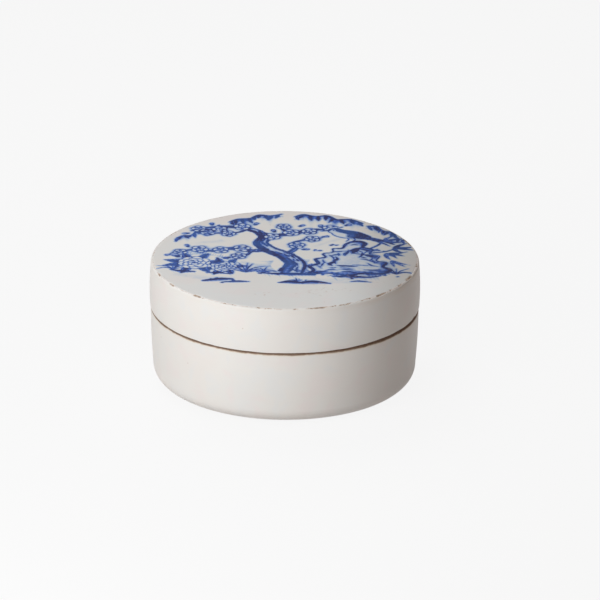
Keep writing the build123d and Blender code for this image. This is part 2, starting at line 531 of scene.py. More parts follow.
class Painting:
    """Brushwork on the cover's top, in millimetres, with x to the right and y to the back.

    A stroke is a row of (x, y, width) points, and each depth or density is from 0 to 1.
    """

    def __init__(self, x, y):
        self.x = x
        self.y = y
        self.ink = np.full(len(x), -BLANK)
        self.depth = np.zeros(len(x))
        self.wash = np.zeros(len(x))

    def around(self, line, reach):
        """The places within reach of a line, as their numbers, x and y."""
        low, high = line[:, :2].min(axis=0) - reach, line[:, :2].max(axis=0) + reach
        near = (self.x > low[0]) & (self.x < high[0]) & (self.y > low[1]) & (self.y < high[1])
        near = np.flatnonzero(near)
        return near, self.x[near], self.y[near]

    def stroke(self, line):
        """How far each place lies inside a stroke of (x, y, width) points, below 0 outside."""
        line = np.asarray(line, dtype=float)
        near, x, y = self.around(line, line[:, 2].max() / 2 + BLANK)
        best = np.full(len(near), -BLANK)
        for a, b in zip(line, line[1:]):
            dx, dy = b[0] - a[0], b[1] - a[1]
            px, py = x - a[0], y - a[1]
            t = np.clip((px * dx + py * dy) / max(dx * dx + dy * dy, 1e-9), 0.0, 1.0)
            half = (a[2] + (b[2] - a[2]) * t) / 2
            best = np.maximum(best, half - np.hypot(px - dx * t, py - dy * t))
        inside = np.full(len(self.x), -BLANK)
        inside[near] = best
        return inside

    def area(self, outline):
        """How far each place lies inside a closed outline, below 0 outside."""
        near, x, y = self.around(outline, BLANK)
        within = np.zeros(len(near), dtype=bool)
        for (ax, ay), (bx, by) in zip(outline, np.roll(outline, -1, axis=0)):
            if ay != by:
                within ^= ((ay > y) != (by > y)) & (x < (bx - ax) * (y - ay) / (by - ay) + ax)
        closed = np.vstack((outline, outline[:1]))
        gap = -self.stroke(np.column_stack((closed, np.zeros(len(closed)))))
        whole = np.zeros(len(self.x), dtype=bool)
        whole[near] = within
        return np.where(whole, gap, -gap)

    def dot(self, x, y, size):
        """How far each place lies inside a round dot."""
        return np.maximum(size / 2 - np.hypot(self.x - x, self.y - y), -BLANK)

    def draw(self, inside, depth=1.0):
        """Lays down ink of a depth from 0 to 1."""
        wins = inside > self.ink
        self.ink[wins] = inside[wins]
        self.depth[wins] = depth

    def rim(self, inside, width, depth):
        """Draws the outline of a shape."""
        self.draw(width / 2 - np.abs(inside), depth)

    def lift(self, inside):
        """Keeps a place clear, whatever lay there before."""
        self.ink = np.minimum(self.ink, -inside)
        self.wash *= 1.0 - ease(inside, -0.1, 0.15)

    def soak(self, share):
        """Adds a wash to the ones already there."""
        self.wash = 1.0 - (1.0 - self.wash) * (1.0 - np.clip(share, 0.0, 1.0))

    def flood(self, inside, density, soft=1.2):
        """Lays down a wash that fades over its soft edge."""
        self.soak(density * ease(inside, 0.0, soft))

    def line(self, points, depth=1.0, steps=7):
        """One brush stroke through given (x, y, width) points."""
        self.draw(self.stroke(through(points, steps)), depth)

    def dash(self, x, y, way, bow, width, depth):
        """A short stroke along a way, pressed in its middle and bowed to one side."""
        start, end = (x - way[0], y - way[1], 0.3), (x + way[0], y + way[1], 0.25)
        self.line((start, (x + bow[0], y + bow[1], width), end), depth, 4)

    def feather(self, line, way, reach, density, rng, gap=0.9):
        """A soft edge of short side-by-side brush marks, which run one way from a line."""
        line = through(np.asarray(line, dtype=float)[:, :2], 8)
        stretches = np.linalg.norm(np.diff(line, axis=0), axis=1)
        so_far = np.concatenate(((0.0,), np.cumsum(stretches)))
        for at in np.arange(0.0, so_far[-1], gap):
            x, y = np.interp(at, so_far, line[:, 0]), np.interp(at, so_far, line[:, 1])
            far = reach * rng.uniform(0.35, 1.0)
            lean = rng.uniform(-0.15, 0.15)
            tip = (x + (way[0] + lean) * far, y + way[1] * far, 0.2)
            self.flood(self.stroke(((x, y, 1.5 * gap), tip)), density * rng.uniform(0.5, 1.0), 0.5)


def paint_hills(art, rng):
    """Distant hills at the back: dark crests that fade towards the viewer."""
    # Crest, depth and fade
    ranges = (
        (((-37, 17), (-34.5, 20.5), (-31.5, 21.5), (-29, 25.4), (-25, 27), (-22, 31)), 0.66, 2.7),
        (((-19, 33), (-16, 36), (-12, 37), (-9, 39.8), (-5, 39.6), (-1, 41)), 0.95, 3.0),
        (
            ((3, 38.4), (6, 40.6), (10, 39.4), (14, 39.8), (17, 36.4), (22, 36.6), (26, 33.0)),
            1.0, 3.8,
        ),
        (((27, 30.6), (30.5, 30.2), (33, 26.4), (36, 25), (37.4, 20.6), (40, 17.4)), 0.78, 2.9),
    )
    for crest, depth, fade in ranges:
        line = through(crest, 9)
        height = np.interp(art.x, line[:, 0], line[:, 1])
        left, right = line[0, 0], line[-1, 0]
        ends = ease(art.x, left, left + 2.5) * ease(art.x, right, right - 2.5)
        ragged = fade * (1.0 + 0.25 * np.sin(art.x * 0.9) + 0.2 * np.sin(art.x * 2.3 + 1.0))
        below = height - art.y
        body = ease(below, -0.2, 0.4) * np.exp(-((np.maximum(below, 0) / ragged) ** 1.6)) * ends
        art.soak(depth * 0.62 * body)
        ridge = np.column_stack((line, 0.75 + 0.4 * np.sin(np.linspace(0, 13, len(line)))))
        ridge[0, 2] = ridge[-1, 2] = 0.25
        art.draw(art.stroke(ridge), depth)
        for share in np.linspace(0.05, 0.95, 9):
            x, y = line[int(share * (len(line) - 1))]
            drop, lean = rng.uniform(2.5, 5.0), rng.uniform(-1.6, 1.6)
            middle, foot = (x + lean * 0.4, y - drop * 0.5, 1.3), (x + lean, y - drop, 0.3)
            art.line(((x, y, 0.7), middle, foot), depth * 0.8)
        art.feather(line - (0, 0.6 * fade), (0.25, -1.0), 0.8 * fade, 0.26 * depth, rng)


def paint_trunk(art, points, rng):
    """An old trunk: broken dark edges, a pale lit core and short bark strokes."""
    line = through(points, 8)
    across = sideways(line)
    whole = art.stroke(line)
    art.lift(whole)
    shaded = line.copy()
    shaded[:, :2] += across * line[:, 2:] * 0.22
    shaded[:, 2] *= 0.5
    art.flood(whole, 0.16, 0.4)
    art.flood(np.minimum(art.stroke(shaded), whole), 0.62, 0.9)
    for side, heavy in ((1, 1.1), (-1, 0.75)):
        edge = line.copy()
        edge[:, :2] += across * side * (line[:, 2:] / 2 - 0.2)
        knots = rng.uniform(0.75, 1.35, len(edge))
        edge[:, 2] = np.maximum(heavy * knots * np.minimum(line[:, 2] * 0.28, 1.3), 0.45)
        art.draw(art.stroke(edge), 0.98)
    for at in range(2, len(line) - 3):
        width = line[at, 2]
        if width < 1.6:
            continue
        x, y = line[at, :2] + across[at] * rng.uniform(-0.30, 0.32) * width
        along = line[at + 1, :2] - line[at, :2]
        along = along / np.linalg.norm(along) * rng.uniform(0.8, 1.8)
        bow = across[at] * rng.uniform(-0.2, 0.5)
        art.dash(x, y, along, bow, rng.uniform(0.5, 1.0), rng.uniform(0.7, 1.0))


def paint_bough(art, points, rng):
    """A dark tapering branch with knuckles, paler along its lit side."""
    line = through(points, 8)
    line[:, 2] *= rng.uniform(0.85, 1.25, len(line))
    art.draw(art.stroke(line), 0.95)
    lit = line[line[:, 2] > 1.2]
    if len(lit) > 3:
        lit = lit - np.column_stack((sideways(lit) * lit[:, 2:] * 0.14, lit[:, 2] * 0.7))
        art.depth = np.where(art.stroke(lit) > 0.0, 0.5, art.depth)


def paint_blossom(art, x, y, size, turn, rng):
    """An open plum flower: five kept petals, each with its outline, and the stamens."""
    centres = [toward(x, y, turn + k * math.tau / 5, size * 0.52) for k in range(5)]
    petals = [art.dot(*centre, size * 0.84) for centre in centres]
    away = np.hypot(art.x - x, art.y - y)
    art.flood(size * 1.7 - away, 0.22, size)
    for petal in petals:
        art.lift(petal)
    for petal in petals:
        art.draw(np.where(away > size * 0.30, 0.21 - np.abs(petal), -BLANK), 0.9)
        art.flood(np.minimum(petal, size * 0.7 - away), 0.10, 0.5)
    art.draw(art.dot(x, y, 0.7), 0.95)
    for _ in range(7):
        tip = toward(x, y, rng.uniform(0, math.tau), size * rng.uniform(0.34, 0.5))
        art.draw(art.stroke(((x, y, 0.32), (*tip, 0.26))), 0.55)
        art.draw(art.dot(*tip, 0.5), 0.95)


def paint_bud(art, x, y, size, turn):
    """A closed bud in its dark calyx."""
    body = art.stroke(((x, y, size * 0.8), (*toward(x, y, turn, size * 0.7), size)))
    art.lift(body)
    art.rim(body, 0.38, 0.9)
    art.flood(body, 0.35, 0.5)
    art.draw(art.dot(*toward(x, y, turn, -size * 0.3), size * 0.8), 0.98)


def paint_blade(art, x, y, turn, reach, width, depth, bow):
    """One long leaf, drawn in a single pressed and lifted stroke."""
    root, tip = (0.0, 0.0, 0.3), (1.0, bow * 0.4, 0.15)
    shape = (root, (0.28, bow * 0.7, width), (0.6, bow, width * 0.8), tip)
    points = []
    for along, off, wide in shape:
        middle = toward(x, y, turn, along * reach)
        points.append((*toward(*middle, turn + math.pi / 2, off), wide))
    art.line(points, depth, 6)


def paint_bamboo(art, sprays, rng):
    """Sprays of bamboo leaves."""
    for x, y, turn, count, depth in sprays:
        for k in range(count):
            spread = (k - (count - 1) / 2) * 0.50 + rng.uniform(-0.12, 0.12)
            reach = rng.uniform(5.5, 8.5) * (1.0 - 0.05 * abs(k - count / 2))
            wide, dark = rng.uniform(1.2, 1.9), depth * rng.uniform(0.7, 1.0)
            paint_blade(art, x, y, turn + spread, reach, wide, dark, rng.uniform(-0.8, 0.8))


def paint_rock(art, outline, hollows, rng):
    """A weathered rock: broken outline, shade on its far side, hollows and texture strokes."""
    ring = through(outline, 5, closed=True)
    inside = art.area(ring)
    art.lift(inside)
    art.flood(inside, 0.14, 0.6)
    for offset, density in ((1.6, 0.40), (3.6, 0.40)):
        lit = art.area(ring + (-offset, offset * 0.9))
        art.flood(np.minimum(inside, -lit), density, 1.3)
    closed = np.vstack((ring, ring[:1]))
    width = 0.95 + 0.5 * np.sin(np.linspace(0, 17, len(closed)))
    width = np.maximum(width + rng.uniform(-0.15, 0.15, len(closed)), 0.45)
    art.draw(art.stroke(np.column_stack((closed, width))), 0.98)
    centre = ring.mean(axis=0)
    for x, y, wide, high, turn in hollows:
        a = np.linspace(0, math.tau, 16, endpoint=False)
        wobble = 1.0 + 0.18 * np.sin(a * 3 + x) + 0.1 * np.sin(a * 5 + y)
        px, py = np.cos(a) * wide * wobble, np.sin(a) * high * wobble
        lean = np.array(((math.cos(turn), math.sin(turn)), (-math.sin(turn), math.cos(turn))))
        hole = np.column_stack((px, py)) @ lean
        art.flood(art.area(hole * 1.7 + (x, y)), 0.4, 1.2)
        art.draw(art.area(hole + (x, y)), 0.98)
    for _ in range(40):
        at = rng.integers(0, len(ring))
        x, y = ring[at] + (centre - ring[at]) * rng.uniform(0.12, 0.62)
        flow = ring[(at + 2) % len(ring)] - ring[at]
        flow = flow / max(np.linalg.norm(flow), 1e-6) * rng.uniform(1.0, 2.6)
        bow = np.array((-flow[1], flow[0])) * rng.uniform(-0.35, 0.35)
        art.dash(x, y, flow, bow, rng.uniform(0.5, 1.25), rng.uniform(0.55, 0.98))


def paint_leaf(art, x, y, turn, reach, width):
    """A broad leaf: washed body, dark edge and rib."""
    middle, tip = toward(x, y, turn, reach * 0.4), toward(x, y, turn, reach)
    body = through(((x, y, 0.4), (*middle, width), (*tip, 0.2)))
    inside = art.stroke(body)
    art.lift(inside)
    art.flood(inside, 0.62, 0.6)
    art.rim(inside, 0.4, 0.95)
    body[:, 2] = np.linspace(0.55, 0.25, len(body))
    art.draw(art.stroke(body), 0.95)


def paint_peony(art, x, y, size, rng):
    """A full open flower on a fan of leaves: rings of kept petals, shaded at their roots."""
    for k in range(7):
        turn = k * math.tau / 7 + rng.uniform(-0.25, 0.25)
        root = toward(x, y, turn, size * 0.7)
        paint_leaf(art, *root, turn, size * rng.uniform(0.9, 1.25), size * 0.52)
    away = np.hypot(art.x - x, art.y - y)
    for spread, count, wide in ((0.68, 9, 0.72), (0.44, 7, 0.58), (0.20, 5, 0.42)):
        for k in range(count):
            turn = k * math.tau / count + rng.uniform(-0.12, 0.12)
            petal = art.dot(*toward(x, y, turn, size * spread), size * wide)
            art.lift(petal)
            art.rim(petal, 0.36, 0.85)
            art.flood(np.minimum(petal, size * (spread + 0.05) - away), 0.45, 1.1)
    art.draw(art.dot(x, y, 0.9), 0.95)


def paint_grass(art, x, y, reach, count, rng, depth=0.8, spread=1.1):
    """A tuft of thin curved blades."""
    for k in range(count):
        a = math.pi / 2 + (k / max(count - 1, 1) - 0.5) * 2 * spread + rng.uniform(-0.1, 0.1)
        far = reach * rng.uniform(0.65, 1.0)
        droop = (math.pi / 2 - a) * 0.5
        middle, tip = toward(x, y, a, far * 0.5), toward(x, y, a - droop, far)
        art.line(((x, y, 0.5), (*middle, 0.62), (*tip, 0.16)), depth * rng.uniform(0.7, 1.0), 5)


def paint_moss(art, x, y, wide, count, rng):
    """A cluster of pressed dots."""
    for _ in range(count):
        px, py = x + rng.normal(0, wide), y + rng.normal(0, wide * 0.45)
        art.draw(art.dot(px, py, rng.uniform(0.6, 1.3)), rng.uniform(0.7, 1.0))


def paint_bank(art, points, depth, fade, rng):
    """A low bank: one broad wet stroke that fades towards the viewer in brush marks."""
    line = through(points, 8)
    art.draw(art.stroke(line), depth)
    wide = line.copy()
    wide[:, 1] -= wide[:, 2] * 0.5
    wide[:, 2] = wide[:, 2] * 2.2 + 0.4
    art.flood(art.stroke(wide), 0.45 * depth, 1.0)
    art.feather(line, (0.35, -1.0), fade, 0.26 * depth, rng, 1.1)


def paint_bird(art, x, y, size, face):
    """A small songbird with a dark back, a pale breast and a long tail. `face` is 1 for left."""

    def at(points):
        placed = [(x + px * face * size, y + py * size, wide * size) for px, py, wide in points]
        return art.stroke(through(placed))

    chest = ((-4.2, 2.4, 3.0), (-2.6, 1.4, 4.8), (0.6, 0.2, 5.2))
    body = at((*chest, (3.6, -1.0, 3.2), (5.4, -1.8, 1.4)))
    head = art.dot(x - 4.6 * face * size, y + 4.0 * size, 4.2 * size)
    whole = np.maximum(body, head)
    art.lift(whole + 0.7)
    art.rim(whole, 0.4, 0.9)
    art.flood(whole, 0.12, 0.8)
    art.draw(at(((-4.6, 5.2, 1.8), (-2.2, 3.6, 2.4), (1.4, 2.0, 3.0), (5.0, -0.6, 1.7))), 0.98)
    art.draw(at(((-6.0, 5.0, 0.9), (-4.4, 5.5, 1.4), (-3.0, 4.6, 1.2))), 0.98)
    for low in (0.0, 1.1, 2.1):
        tip = (6.2 - low * 0.6, -1.9 - low * 0.5, 0.35)
        art.draw(at(((-0.8, 1.3 - low, 0.8), (2.6, 0.4 - low, 1.1), tip)), 0.95)
    art.draw(at(((4.8, -1.2, 1.4), (8.6, -3.4, 1.5), (12.4, -6.4, 0.6))), 0.98)
    art.draw(at(((4.6, -2.0, 1.0), (8.2, -4.6, 1.1), (11.2, -7.8, 0.4))), 0.85)
    art.draw(at(((-6.5, 4.2, 1.0), (-7.6, 3.9, 0.6), (-8.6, 3.5, 0.25))), 0.98)
    eye = (x - 5.1 * face * size, y + 4.3 * size)
    art.lift(art.dot(*eye, 1.3 * size))
    art.draw(art.dot(*eye, 0.6 * size), 1.0)
    for foot in (-0.9, 0.9):
        art.draw(at(((foot, -2.0, 0.5), (foot + 0.2, -3.2, 0.45), (foot - 0.5, -4.2, 0.45))), 0.95)


def paint_tree(art, rng):
    """An old plum tree in flower."""
    boughs = (
        (
            (-5, 9, 3.0), (-11, 7.5, 2.3), (-18, 9.5, 1.9),
            (-24, 7, 1.5), (-31, 8, 1.1), (-37, 5, 0.5),
        ),
        (
            (-7, 17, 2.8), (-3, 21.5, 2.3), (3, 23, 2.0),
            (8, 27, 1.5), (14, 27, 1.0), (19, 29.5, 0.5),
        ),
        ((0, 4, 2.6), (3.5, 10, 2.1), (3, 15, 1.6), (8, 18.5, 1.1), (12, 19.5, 0.5)),
        ((-12, 28, 1.4), (-16, 24, 1.0), (-23, 23, 0.5)),
        ((3, 23, 1.1), (-1, 27, 0.9), (0, 31, 0.5)),
        ((-11, 7.5, 1.2), (-13, 3.5, 0.9), (-16, 2.5, 0.5)),
    )
    for bough in boughs:
        paint_bough(art, bough, rng)
    trunk = (
        (2, -11, 8.0), (3.5, -4, 6.4), (0.5, 3, 5.6), (-5, 8.5, 5.0), (-8, 14.5, 4.4),
        (-7, 20.5, 3.6), (-10.5, 26, 2.9), (-17, 29, 2.1), (-25, 28.5, 1.3), (-31.5, 25, 0.6),
    )
    art.feather(((-3, -11), (-5, -6), (-4, -1)), (-1.0, -0.1), 7.0, 0.30, rng)
    art.feather(((6, -11), (6.5, -5), (4.5, 1)), (1.0, 0.1), 5.0, 0.30, rng)
    paint_trunk(art, trunk, rng)
    # Place and size
    flowers = (
        (-14.5, 9.6, 3.1), (-21.5, 8.0, 2.9), (-28.5, 8.6, 3.1), (-35.0, 6.0, 2.6),
        (-26.0, 23.6, 2.7), (-4.4, 20.4, 3.0), (-14.5, 29.2, 3.1), (-22.0, 26.8, 2.9),
        (-29.0, 27.0, 2.7), (2.0, 24.2, 3.1), (8.0, 25.4, 2.9), (15.0, 28.4, 2.9),
        (-0.6, 29.6, 2.6), (3.8, 12.8, 3.0), (9.0, 18.6, 2.8), (-15.4, 2.8, 2.8),
        (-19.0, 22.8, 2.6),
    )
    for fx, fy, size in flowers:
        paint_blossom(art, fx, fy, size, rng.uniform(0, math.tau), rng)
    # Place and the way they point, in radians
    bud_size = 1.4
    buds = (
        (-38.4, 3.4, 3.4), (-32.6, 11.2, 1.8), (-32.8, 22.8, 3.4), (-24.6, 31.0, 1.7),
        (-10.0, 31.4, 1.2), (20.6, 31.2, 0.7), (11.8, 29.8, 1.6), (13.0, 20.6, 0.4),
        (5.2, 30.2, 0.8), (-19.0, 1.2, 3.6), (6.4, 9.0, 0.2), (-3.8, 25.2, 1.8),
        (-25.4, 21.8, 3.6),
    )
    for bx, by, turn in buds:
        paint_bud(art, bx, by, bud_size, turn)


def paint_rockery(art, rng):
    """A garden rock with bamboo behind it and a songbird over it."""
    art.line(((26, 8, 1.0), (31, 13.5, 0.9), (33.5, 20, 0.5)), 0.85)
    art.line(((28, 6, 0.9), (34, 8, 0.8), (38, 12, 0.4)), 0.85)
    # Place, the way they point in radians, leaves and depth
    sprays = (
        (33.0, 17.0, 0.5, 3, 0.85), (36.0, 11.0, -0.1, 4, 1.0), (33.4, 6.0, -0.6, 4, 0.95),
        (35.4, 0.0, -1.0, 3, 0.7),
    )
    paint_bamboo(art, sprays, rng)
    rock = (
        (8, -13), (9.5, -9.5), (8.2, -6), (11, -3.5), (10.2, 0.5), (13.4, 2.2), (12.6, 5.4),
        (15.8, 6.6), (16, 10), (19, 10.4), (20.5, 14.6), (24.2, 16.8), (26.8, 14.8), (26, 11.4),
        (29.2, 9.4), (28.2, 5.6), (31.5, 3.6), (30.4, -0.6), (33.6, -2.4), (32.6, -6), (35, -9),
        (32, -12.6), (26, -12.2), (21, -13.8), (15, -12.4),
    )
    # Place, half width, half height and turn in radians
    hollows = ((23.4, 8.6, 1.1, 2.6, -0.5), (15.4, -3.0, 1.8, 0.7, 0.9))
    art.feather(((8, -12), (7, -6), (8, 0)), (-1.0, 0.0), 4.0, 0.3, rng)
    art.feather(((34, -11), (34, -6), (32, 0)), (1.0, -0.15), 6.0, 0.4, rng)
    paint_rock(art, rock, hollows, rng)
    paint_bird(art, 22.0, 21.6, 1.15, 1)


def paint_peonies(art, rng):
    """Two peonies and a bud at the left."""
    art.feather(((-37, -2), (-30, 4), (-22, 2), (-16, -4)), (0.2, 1.0), 5.0, 0.35, rng)
    paint_peony(art, -20.4, -6.6, 4.4, rng)
    paint_peony(art, -30.2, -3.6, 5.4, rng)
    paint_bud(art, -36.2, 2.6, 2.4, 2.2)


def paint_shore(art, rng):
    """Low banks with mist, grass and moss, nearest the viewer."""
    # Stroke, depth and fade
    banks = (
        (((-38, -9.8, 0.4), (-34, -11.0, 1.2), (-30, -11.4, 0.5)), 0.8, 4.0),
        (((-26, -12.4, 0.4), (-22, -12.2, 1.0), (-18, -13.4, 0.4)), 0.7, 4.0),
        (((-8, -12.2, 0.4), (-3, -12.6, 1.0), (5, -12.8, 1.3), (10, -13.8, 0.4)), 0.85, 6.0),
        (((16, -14.8, 0.4), (21, -14.4, 1.3), (27, -15.2, 0.9), (31, -14.6, 0.4)), 0.9, 6.0),
        (((-27, -19.4, 0.8), (-22, -17.8, 1.5), (-17.4, -17.6, 0.7)), 0.95, 2.0),
        (((-20.6, -20.6, 0.4), (-16, -19.8, 1.1), (-12.6, -20.0, 0.6)), 0.75, 1.6),
        (
            (
                (-2, -20.8, 0.4), (1.6, -19.6, 1.6), (5, -20.6, 1.1),
                (9.4, -19.6, 1.7), (15, -21.2, 0.4),
            ),
            0.95, 2.6,
        ),
        (((22, -19.4, 0.4), (24.6, -18.8, 0.9), (28.4, -19.8, 0.3)), 0.6, 1.4),
    )
    for points, depth, fade in banks:
        paint_bank(art, points, depth, fade, rng)
    # Stroke and density
    mists = (
        (((-36, -14, 5), (-27, -17, 6), (-18, -16, 4)), 0.10),
        (((8, -18, 5), (20, -19, 7), (30, -17, 4)), 0.09), (((-14, -3, 5), (-8, -7, 7)), 0.12),
        (((10, 12, 4), (18, 19, 5)), 0.10), (((-30, 14, 4), (-22, 16, 6)), 0.10),
    )
    for points, density in mists:
        art.flood(art.stroke(through(points)), density, 2.6)
    # Place, reach, blades and depth
    tufts = (
        (-13, -11.8, 9.5, 9, 0.95), (-7, -12.0, 6.5, 6, 0.8), (9.4, -13.2, 5.5, 7, 0.9),
        (37, -12.6, 7.5, 7, 0.95), (28, -14.2, 4.5, 6, 0.8), (-37, -9.6, 6.5, 6, 0.9),
        (17, -14.2, 4.0, 6, 0.8), (4, -19.8, 3.6, 5, 0.9),
    )
    for gx, gy, reach, count, depth in tufts:
        paint_grass(art, gx, gy, reach, count, rng, depth)
    # Place, spread and dots
    mosses = (
        (-16, -20.2, 2.0, 4), (-23, -17.4, 1.4, 4), (21, -14.4, 3.4, 12), (-5, -12.0, 2.2, 9),
        (32, -13.6, 2.0, 9), (11, 8.0, 0.9, 6), (30.5, 8.6, 1.0, 7), (16.4, 13.4, 1.2, 6),
        (8.6, -5, 0.8, 6), (4, -10, 1.6, 6), (7, -20.0, 2.6, 5),
    )
    for moss in mosses:
        paint_moss(art, *moss, rng)


def paint_garden(x, y):
    """The whole picture, from its hills to its near banks."""
    rng = np.random.default_rng(PAINTING_SEED)
    art = Painting(x, y)
    for paint in (paint_hills, paint_tree, paint_rockery, paint_peonies, paint_shore):
        paint(art, rng)
    return art


# Pieces


class BaseShape:
    """Radii of the base, worked out from its sizes, and its profile in three stretches."""

    ledge = 0.3 * MM  # how far the foot ring's root stands out
    corner = 0.2 * MM  # turn at the flange's root
    lip = 1.2 * MM  # stretch of wall below the seat that is divided more finely

    def __init__(self, sizes):
        self.sizes = sizes
        self.seat = rim_radius(sizes) - sizes.overhang
        self.flange = rim_radius(sizes) - sizes.cover_wall - sizes.clearance
        self.bowl = self.flange - sizes.flange
        self.foot = self.seat - sizes.taper - sizes.base_turn - sizes.foot_inset
        self.foot_inner = self.foot - sizes.foot_width
        self.tall = SEAT_Z - sizes.underside

    def wall(self, z):
        """Radius of the wall at a height."""
        return self.seat - self.sizes.taper * ((SEAT_Z - z) / self.tall) ** 2

    def underside(self):
        """From the axis over the recess and the foot ring."""
        s = self.sizes
        turn, edge = s.recess * 0.5, s.foot_width * 0.16
        low, high = self.foot_inner + edge, self.foot - edge
        line = [(share * self.foot_inner, s.recess) for share in (0.05, 0.25, 0.5, 0.75, 0.9)]
        line += bend(self.foot_inner - turn, s.recess - turn, turn, 90, 0, 5)
        line += bend(low, edge, edge, 180, 270, 4) + run((low, 0), (high, 0), 6)
        line += bend(high, edge, edge, -90, 0, 4)
        line += [(self.foot, s.underside - 0.1 * MM), (self.foot + self.ledge, s.underside)]
        return line

    def outside(self):
        """Out to the turn of the wall, up the wall and over the seat to the flange."""
        s = self.sizes
        turn_z = s.underside + s.base_turn
        slope = math.atan(2 * s.taper * (SEAT_Z - turn_z) / self.tall**2)
        turn_radius = self.wall(turn_z) - s.base_turn * math.cos(slope)
        low, high = turn_z - s.base_turn * math.sin(slope), SEAT_Z - s.seat_round
        line = run((self.foot + self.ledge, s.underside), (turn_radius, s.underside), 4)
        line += bend(turn_radius, turn_z, s.base_turn, -90, -math.degrees(slope), 12)
        line += [(self.wall(z), z) for z in np.linspace(low, high - self.lip, 16)[1:]]
        line += [(self.wall(z), z) for z in np.linspace(high - self.lip, high, 8)[1:-1]]
        line += bend(self.seat - s.seat_round, high, s.seat_round, 0, 90, 7)
        root = self.flange + self.corner
        line += run((self.seat - s.seat_round, SEAT_Z), (root, SEAT_Z), 5)
        line += bend(root, SEAT_Z + self.corner, self.corner, 270, 180, 2)
        return line

    def inside(self):
        """Up the flange, over its edge and down the bowl towards the axis."""
        s = self.sizes
        edge = s.flange * 0.36
        edge_z, turn_z = FLANGE_Z - edge, BOWL_Z + s.bowl_turn
        top, floor = self.flange - s.lean, self.bowl - s.bowl_turn
        line = run((self.flange, SEAT_Z + self.corner), (top, edge_z), 5)
        line += bend(top - edge, edge_z, edge, 0, 90, 5)
        line += bend(self.bowl + edge, edge_z, edge, 90, 180, 5)
        line += run((self.bowl, edge_z), (self.bowl, turn_z), 16)
        line += bend(floor, turn_z, s.bowl_turn, 0, -90, 10)
        line += [(floor * share, BOWL_Z) for share in (0.8, 0.55, 0.3, 0.05)]
        return line

    def outer(self, points):
        """True for the points of the outside, above the underside."""
        return (radii(points) > self.foot) & (points[:, 2] > self.sizes.underside - HAIR)


def base_marks(points, shape):
    """What the glaze carries on the base's points, each from 0 to 1."""
    height, radius = points[:, 2], radii(points)
    below = SEAT_Z - height
    outside = shape.outer(points)
    within = radius < shape.bowl + 0.2 * MM
    right = dark_seam_side(points)
    around, fine = grain(points, 6 * MM, 1.0), grain(points, 1.3 * MM, 2.0)

    lip_depth = (0.80 + 0.62 * right - 0.12 * around - 0.14 * fine) * MM
    seat = ease(below, lip_depth + 0.14 * MM, lip_depth - 0.14 * MM)
    seat[(radius < shape.bowl + shape.sizes.flange * 0.35) & (height < SEAT_Z)] = 0.0
    inner_lip = FLANGE_Z - 1.6 * MM + 0.3 * MM * around
    seat = np.where(within, ease(height, inner_lip, inner_lip + 0.25 * MM), seat)
    on_ring = np.abs(radius - (shape.foot + shape.foot_inner) / 2) < shape.sizes.foot_width
    foot = ease(height, 0.75 * MM, 0.45 * MM) * on_ring

    # Partly handling stain, partly painted shade: the bare lip is darkest next to the seam's groove
    # and fades downward
    lip_stain_and_shade = ease(below, lip_depth + 0.05 * MM, lip_depth - 0.45 * MM) * (0.88 + 0.12 * right)
    lip_stain_and_shade = np.where(radius > shape.seat - 1.5 * MM, lip_stain_and_shade, 0.1)
    thin_lip = outside * ease(below, lip_depth + 0.55 * MM, lip_depth) * 0.6
    thin_flange = ease(height, SEAT_Z + 1.8 * MM, SEAT_Z + 3.2 * MM) * within * 0.4
    pink = np.clip(0.35 + 0.5 * grain(points, 14 * MM, 8.0), 0, 1)

    uneven = 1.7 * grain(points, 9 * MM, 5.0) + 0.9 * grain(points, 2.4 * MM, 6.0)
    smear_line = BOWL_Z + (PASTE_Z - BOWL_Z) * 0.84 + uneven * MM
    smear = ease(height, smear_line + 1.6 * MM, smear_line - 2.2 * MM)
    smear = smear * (radius < shape.bowl + 0.1 * MM) * (height > BOWL_Z - 0.1 * MM)
    return {
        "bare": np.maximum(seat, foot),
        "seam_stain_and_shade": lip_stain_and_shade,
        "thin": np.maximum(thin_lip, thin_flange),
        "blush": outside * ease(height, 8 * MM, 1 * MM) * pink,
        "smear": smear * 0.9,
    }


class SEALBOX_OT_base(bpy.types.Operator):
    """Turn and glaze the base, with its bare seat, flange and foot ring"""

    bl_idname = "sealbox.base"
    bl_label = "Base"

    def execute(self, context):
        sizes = settings(context, "porcelain")
        shape = BaseShape(sizes)
        profile = shape.underside() + shape.outside() + shape.inside()
        body = Turned(profile, np.linspace(0, math.tau, BASE_SIDES, endpoint=False))
        body.close(0, sizes.recess)
        body.close(body.rings - 1, BOWL_Z)
        points = body.points
        marks = base_marks(points, shape)
        sway = shape.outer(points) * ease(points[:, 2], SEAT_Z, SEAT_Z - 4 * MM)
        shift_out(points, sway * 0.05 * MM * grain(points, 16 * MM, 7.0))
        rough_clay(points, marks["bare"])
        glaze = base_glaze(settings(context, "glaze"), settings(context, "paste"))
        make_piece(
            "porcelain_base", points, body.faces, glaze,
            body="box", slot="porcelain_base", node="box_base", **marks,
        )
        return {"FINISHED"}


def base_glaze(glaze, paste):
    """Porcelain, with smears of paste on the bowl's wall."""
    finish = porcelain("base_glaze", glaze, painted=False)
    below = finish.shader.inputs["Base Color"].links[0].from_socket
    smear = finish.mark("smear")
    rub = finish.speckle(2.2 * MM, 5.0, 0.75, 1.2)
    dab = finish.sums("ADD", smear, finish.spread(rub, 1.8, -1.15))
    red = finish.blend(finish.step(rub, 0.35, 0.65), paste.deep, paste.bright)
    share = finish.times(finish.step(dab, 0.0, 0.55), finish.step(smear, 0.0, 0.15))
    finish.coat(Base_Color=finish.blend(share, below, red))
    return finish


